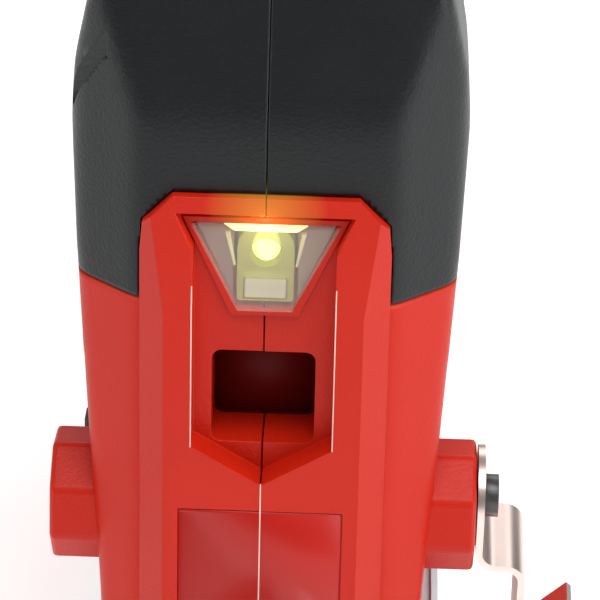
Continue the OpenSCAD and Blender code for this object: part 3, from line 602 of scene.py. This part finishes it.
# Pale flash colour: partly chipped edge, partly a painted highlight on the parting line and the channel's
# edges.
pale_flash_highlight = finish_of("pale_flash_highlight", (0.80, 0.42, 0.36), (0.9, 0.6, 0.52), 0.5, 0.6, 0.3, 0.02)
flash = prism(mirrored([(0.11, 47), (0.11, 84.2)]), "y", nose_front - 0.06, nose_front + 0.6)
moulded(flash, "parting_flash_highlight", "body", "red_shell", pale_flash_highlight)
for side, sign in both_sides:
    inner = sign * channel_half
    outer = sign * (channel_half + 0.22)
    rim_outline = [(inner, 91.6), (outer, 91.5), (outer, 129.3), (inner, 129.3)]
    rim = prism(rim_outline, "y", nose_front - 0.03, nose_front + 0.7)
    behind_face = [
        (nose_front - 1, 80), (0, 80), (0, 150), (front_face - 1.25, 142.3), (nose_front, nose_bend),
    ]
    cut(rim, prism(behind_face, "x", -60, 60), "INTERSECT")
    moulded(rim, f"channel_flash_highlight_{side}", "body", "red_shell", pale_flash_highlight)

# ---------------------------------------------------------------- black soft grip, head and handle
# The head and the handle are overmoulded in black thermoplastic elastomer with a fine leather grain.
# It ends at the seam over the red body and closes round the raised nose frame. A slanted slot holds a key.
black_elastomer = finish_of("black_elastomer", (0.004, 0.005, 0.0055), (0.007, 0.009, 0.010), 0.40, 0.62,
                            0.3, 0.07, worn=(0.05, 0.06, 0.065), spread=0.08, shine=0.3)
upper = copy_of(soft_form)
cut(upper, block((-80, -80, seam_z + 0.25), (80, handle_y, 300)), "INTERSECT")
rear = copy_of(soft_form)
cut(rear, block((-80, handle_y, handle_seam_z + 0.3), (80, 300, 300)), "INTERSECT")
cut(upper, rear, "UNION")
cut(upper, nose_blank(0.2))
cut(upper, block((-nose_gap_half, -60, 80), (nose_gap_half, nose_gap_y, 137)))
key_slot = [(-23, 166.5, 0.9), (-13.5, 149.5, 0.9), (-11.5, 150.5, 0.9), (-21, 167.5, 0.9)]
cut(upper, prism(rounded(key_slot), "x", -60, -28))

# Openings for the badge, the trigger, the lock button and the speed dial, then four screw counterbores.
cut(upper, block((33.4, -11.1, seam_z + 1.4), (60, 27.1, 147.1)))
cut(upper, block((-8.4, 49.6, 150), (8.4, 76.4, 182)))
cut(upper, rod("x", (62, 184), 5.3, -60, -5))
cut(upper, block((-4.6, 20.5, 188), (4.6, 43.5, 230)))
for screw_place in ((12, 160), (14, 187), (124, 168), (88, 178)):
    cut(upper, rod("x", screw_place, screw_mouth, screw_seat, 60))
for side, sign in both_sides:
    skin = copy_of(upper)
    cut(skin, one_side(sign), "INTERSECT")
    moulded(skin, f"soft_grip_{side}", "body", "black_grip", black_elastomer, f"grip_{side}")
bpy.data.objects.remove(upper)

# ---------------------------------------------------------------- side badge
# A blank dark-red panel let into the right cheek of the head, snapped in flush.
badge_lacquer = finish_of("badge_lacquer", (0.10, 0.006, 0.012), (0.16, 0.01, 0.02), 0.3, 0.9, 0.4, 0.008,
                          coat=0.4)
badge = copy_of(soft_form)
badge_outline = rounded([(-11, seam_z + 1.6, 2), (27, seam_z + 1.6, 2), (27, 147, 4), (-11, 147, 5)])
cut(badge, prism(badge_outline, "x", 33.0, 60), "INTERSECT")
moulded(badge, "badge_panel", "body", "badge", badge_lacquer, "side_badge")
bpy.data.objects.remove(soft_form)

# ---------------------------------------------------------------- lamp
# A clear polycarbonate trapezoid lens with ribs, an arched clear holder, and a 5 mm lamp lit yellow-green.


def clear_plastic(name, tint, rough=0.03, see_through=0.8, lit=0.0):
    """A thin clear plastic with faint swirls. lit is the strength of the lamp's light within it."""
    material = bpy.data.materials.new(name)
    material.use_nodes = True
    tree = material.node_tree
    shader = tree.nodes["Principled BSDF"]
    shader.inputs["Base Color"].default_value = (*tint, 1)
    shader.inputs["Alpha"].default_value = 1 - see_through
    shader.inputs["IOR"].default_value = 1.45
    shader.inputs["Emission Color"].default_value = (*tint, 1)
    shader.inputs["Emission Strength"].default_value = lit
    swirl = tree.nodes.new("ShaderNodeTexNoise")
    swirl.inputs["Scale"].default_value = 220
    spread = tree.nodes.new("ShaderNodeMapRange")
    spread.inputs["To Min"].default_value = rough
    spread.inputs["To Max"].default_value = rough + 0.03
    tree.links.new(swirl.outputs["Fac"], spread.inputs["Value"])
    tree.links.new(spread.outputs["Result"], shader.inputs["Roughness"])
    bump = tree.nodes.new("ShaderNodeBump")
    bump.inputs["Distance"].default_value = 0.00003
    tree.links.new(swirl.outputs["Fac"], bump.inputs["Height"])
    tree.links.new(bump.outputs["Normal"], shader.inputs["Normal"])
    return material


lamp_z = 127.2
lens_clear = clear_plastic("lens_clear", (0.9, 0.84, 0.78), 0.02, 0.9)
lens_shape = mirrored([(4.85, 116.85), (12.95, 133.25)])
lens = prism(lens_shape, "y", channel_floor - 1.9, channel_floor - 0.5)
edge_round(lens, 0.3)
moulded(lens, "lens_window", "body", "clear_lens", lens_clear, "nose_lens")
for polygon in lens.data.polygons:
    polygon.use_smooth = False

reflector_red = finish_of("reflector_red", (0.15, 0.06, 0.05), (0.32, 0.20, 0.14), 0.3, 0.8, 0.3, 0.01)
for side, sign in both_sides:
    wing_outline = [(sign * 5.6, 117.4), (sign * 12.6, 133.0), (sign * 5.6, 133.0)]
    wing = prism(wing_outline, "y", channel_floor + 1.5, channel_floor + 2.5)
    edge_round(wing, 0.3)
    moulded(wing, f"reflector_{side}", "body", "red_shell", reflector_red)

holder_clear = clear_plastic("holder_clear", (0.55, 0.55, 0.12), 0.1, 0.5, 0.06)
holder_outline = rounded(mirrored([(5.0, 117.8, 0.6), (5.0, 132.6, 4.4)]))
holder = prism(holder_outline, "y", channel_floor + 0.6, channel_floor + 5)
cut(holder, rod("y", (0, lamp_z), 2.8, -40, 0))
cut(holder, block((-3.9, -40, 118.1), (3.9, channel_floor + 3.8, 122.3)))
edge_round(holder, 0.3)
moulded(holder, "lamp_holder", "body", "clear_lens", holder_clear, "led_holder")

guide_clear = clear_plastic("guide_clear", (0.85, 0.82, 0.62), 0.1, 0.5, 0.05)
light_guide = block((-3.7, channel_floor + 0.6, 118.3), (3.7, channel_floor + 3.6, 122.1))
edge_round(light_guide, 0.35)
moulded(light_guide, "light_guide", "body", "clear_lens", guide_clear)

edge_light = clear_plastic("edge_light", (1.0, 1.0, 0.5), 0.2, 0.3, 0.8)
bar_outline = mirrored([(5.5, 131.7), (7.5, 133.1)])
bar = prism(bar_outline, "y", channel_floor - 0.4, channel_floor + 0.2)
edge_round(bar, 0.3)
moulded(bar, "lit_edge", "body", "clear_lens", edge_light)

rib_clear = clear_plastic("rib_clear", (0.8, 0.78, 0.45), 0.1, 0.4, 0.1)
for side, sign in both_sides:
    rib_outline = [(sign * 6.3, 131.2), (sign * 7.2, 131.2), (sign * 5.6, 124.6), (sign * 5.2, 124.6)]
    rib = prism(rib_outline, "y", channel_floor + 0.4, channel_floor + 1.4)
    edge_round(rib, 0.2)
    moulded(rib, f"lens_rib_{side}", "body", "clear_lens", rib_clear)

bezel_outline = mirrored([(6.0, 115.5), (14.6, 134.5)])
bezel = prism(bezel_outline, "y", channel_floor - 0.7, channel_floor + 0.3)
cut(bezel, prism(lens_outline, "y", -40, 0))
edge_round(bezel, 0.15)
moulded(bezel, "lens_bezel", "body", "red_shell", nose_nylon)

# The lamp's own epoxy dome shines: mottled yellow-green, and a point of light in front stands for its spill.
glow = bpy.data.materials.new("lamp_glow")
glow.use_nodes = True
glow_tree = glow.node_tree
glow_shader = glow_tree.nodes["Principled BSDF"]
glow_place = glow_tree.nodes.new("ShaderNodeTexCoord")
glow_noise = glow_tree.nodes.new("ShaderNodeTexNoise")
glow_noise.inputs["Scale"].default_value = 500
glow_tone = glow_tree.nodes.new("ShaderNodeMix")
glow_tone.data_type = "RGBA"
glow_tone.inputs["A"].default_value = (0.55, 0.68, 0.04, 1)
glow_tone.inputs["B"].default_value = (1.0, 1.0, 0.45, 1)
glow_tree.links.new(glow_place.outputs["Object"], glow_noise.inputs["Vector"])
glow_tree.links.new(glow_noise.outputs["Fac"], glow_tone.inputs["Factor"])
glow_tree.links.new(glow_tone.outputs["Result"], glow_shader.inputs["Base Color"])
glow_tree.links.new(glow_tone.outputs["Result"], glow_shader.inputs["Emission Color"])
glow_shader.inputs["Emission Strength"].default_value = 1.5
bulb_radius = 2.5
bulb_stretch = 2.2
bulb_mesh = bpy.data.meshes.new("bulb")
dome = bmesh.new()
bmesh.ops.create_uvsphere(dome, u_segments=32, v_segments=20, radius=bulb_radius * MM)
for point in dome.verts:
    if point.co.y > 0:
        point.co.y *= bulb_stretch
    point.co += Vector((0, channel_floor + 3.4, lamp_z)) * MM
dome.to_mesh(bulb_mesh)
dome.free()
bulb = bpy.data.objects.new("lamp_bulb", bulb_mesh)
bpy.context.scene.collection.objects.link(bulb)
moulded(bulb, "lamp_bulb", "body", "led_lens", glow, "led")
spill = bpy.data.lights.new("lamp_spill", "POINT")
spill.energy = 0.0015
spill.color = (0.95, 1.0, 0.35)
spill.shadow_soft_size = 1.5 * MM
spill_at = bpy.data.objects.new("lamp_spill", spill)
spill_at.location = Vector((0, channel_floor - 3.4, 134.6)) * MM
bpy.context.scene.collection.objects.link(spill_at)

# ---------------------------------------------------------------- belt hook
# A folded strip of bright spring steel, 19 mm wide, screwed to the right boss with one black pan-head screw.
# It steps out over a shelf, runs down, turns back on itself round a belt and ends in a flared lip.
# The steel's pinkish tint is a painted reflection of the red body beside it.
spring_steel = finish_of("spring_steel", (0.72, 0.56, 0.50), (0.84, 0.70, 0.65), 0.34, 1.6, 0.5, 0.006,
                         metal=1)
strip = 1.3
half_strip = 9.5
shelf = -10.6
step_out = 8.2
leg = 13.3
lip = -33.5
low_end = -52.0
hook_face = 39.6
fold = [
    (0, 0, 0), (0, shelf, 4), (step_out, shelf, 2.6), (step_out, low_end, 3.1), (leg + strip, low_end, 3.1),
    (leg + strip, lip - 0.5, 2), (leg + strip + 5, lip + 4.5, 0), (leg + strip + 4.1, lip + 5.4, 0),
    (leg, lip, 3), (leg, low_end + strip, 1.8), (step_out + strip, low_end + strip, 1.8),
    (step_out + strip, shelf + strip, 3.9), (strip, shelf + strip, 2.7), (strip, 0, 0),
]
hook = prism(rounded(fold, 10), "y", -half_strip, half_strip)
cut(hook, rod("x", (0, 0), half_strip, 0, strip, sides=96), "UNION")
cut(hook, rod("x", (0, 0), 2.05, -1, 3))
to_hook = Matrix.Translation(Vector((hook_face, *hook_at)) * MM)
hook.data.transform(to_hook @ Matrix.Rotation(math.radians(8), 4, "X"))
edge_round(hook, 0.25)
moulded(hook, "hook_strip", "hook", "spring_steel", spring_steel, "belt_hook")

# ---------------------------------------------------------------- drive, foot, battery and controls
# Everything that keeps its plain shape: ground and oiled steel of the drive, cast alloy and pressed steel of
# the foot, bronze bushes, the copper and ferrite of the motor, the film-wrapped cells of the battery, and
# the black and red nylon of the controls. Each gets its real finish and a fine edge radius.
ground_steel = finish_of("ground_steel", (0.46, 0.46, 0.47), (0.62, 0.62, 0.63), 0.3, 0.8, 0.2, 0.006,
                         metal=1)
oiled_steel = finish_of("oiled_steel", (0.20, 0.20, 0.21), (0.34, 0.34, 0.35), 0.35, 0.9, 0.25, 0.01, metal=1)
cast_alloy = finish_of("cast_alloy", (0.45, 0.46, 0.47), (0.60, 0.61, 0.62), 0.5, 0.7, 0.3, 0.05, metal=0.9)
black_oxide = finish_of("black_oxide", (0.012, 0.012, 0.013), (0.03, 0.03, 0.032), 0.35, 0.6, 0.2, 0.01,
                        worn=(0.2, 0.2, 0.2), coat=0.2)
sintered_bronze = finish_of("sintered_bronze", (0.40, 0.22, 0.09), (0.55, 0.33, 0.16), 0.45, 0.4, 0.2, 0.02,
                            metal=1)
turned_brass = finish_of("turned_brass", (0.62, 0.42, 0.14), (0.78, 0.56, 0.24), 0.28, 0.8, 0.2, 0.006,
                         metal=1)
bare_copper = finish_of("bare_copper", (0.55, 0.22, 0.10), (0.72, 0.34, 0.18), 0.3, 0.8, 0.2, 0.006, metal=1)
ferrite = finish_of("ferrite", (0.03, 0.03, 0.032), (0.06, 0.06, 0.065), 0.6, 0.5, 0.25, 0.03)
black_nylon = finish_of("black_nylon", (0.014, 0.014, 0.015), (0.03, 0.03, 0.032), 0.5, 0.5, 0.25, 0.03,
                        worn=(0.09, 0.09, 0.09))
red_gloss = finish_of("red_gloss", (0.5, 0.01, 0.008), (0.64, 0.02, 0.014), 0.3, 0.6, 0.3, 0.01, coat=0.3)
solder_mask = finish_of("solder_mask", (0.01, 0.12, 0.05), (0.02, 0.2, 0.08), 0.3, 1.2, 0.5, 0.02, coat=0.4)
cell_film = finish_of("cell_film", (0.02, 0.25, 0.14), (0.04, 0.36, 0.2), 0.25, 1.5, 0.6, 0.01, coat=0.5)
wire_silicone = finish_of("wire_silicone", (0.45, 0.02, 0.01), (0.6, 0.04, 0.02), 0.5, 0.6, 0.3, 0.01)
shield_clear = clear_plastic("shield_clear", (0.95, 0.98, 1.0), 0.05)
finish_by_slot = {
    "clear_lens": lens_clear, "led_lens": glow, "badge": badge_lacquer, "brass": turned_brass,
    "spring_steel": spring_steel, "black_screw": black_oxide, "steel": ground_steel,
    "gear_steel": oiled_steel, "alloy": cast_alloy, "bronze": sintered_bronze, "copper": bare_copper,
    "ferrite": ferrite, "black_plastic": black_nylon, "red_button": red_gloss, "board": solder_mask,
    "cell_wrap": cell_film, "wire": wire_silicone, "clear_shield": shield_clear, "red_shell": red_nylon,
    "black_grip": black_elastomer,
}
rounding = {
    "hook_screw": 0.35, "pack_front": 0.8, "pack_back": 1.6, "pack_button_left": 0.8,
    "pack_button_right": 0.8, "footplate": 0.4, "sole_shoe": 0.4, "trigger": 1.2, "lock_button": 0.8,
    "orbit_knob": 0.8, "bevel_lever": 0.8,
}
replaced = {
    "housing_left", "housing_right", "grip_left", "grip_right", "side_badge", "nose_lens", "led",
    "led_holder", "belt_hook",
}
slot_of = {entry["node"]: entry["material_slot"] for entry in frame["record"]["subparts"]}
for node_name, ob in frame["nodes"].items():
    if node_name in replaced:
        continue
    ob.data.materials.clear()
    ob.data.materials.append(finish_by_slot[slot_of[node_name]])
    weld = ob.modifiers.new("weld", "WELD")
    weld.merge_threshold = 0.00001
    edge_round(ob, rounding.get(node_name, 0.2), 2, 35)
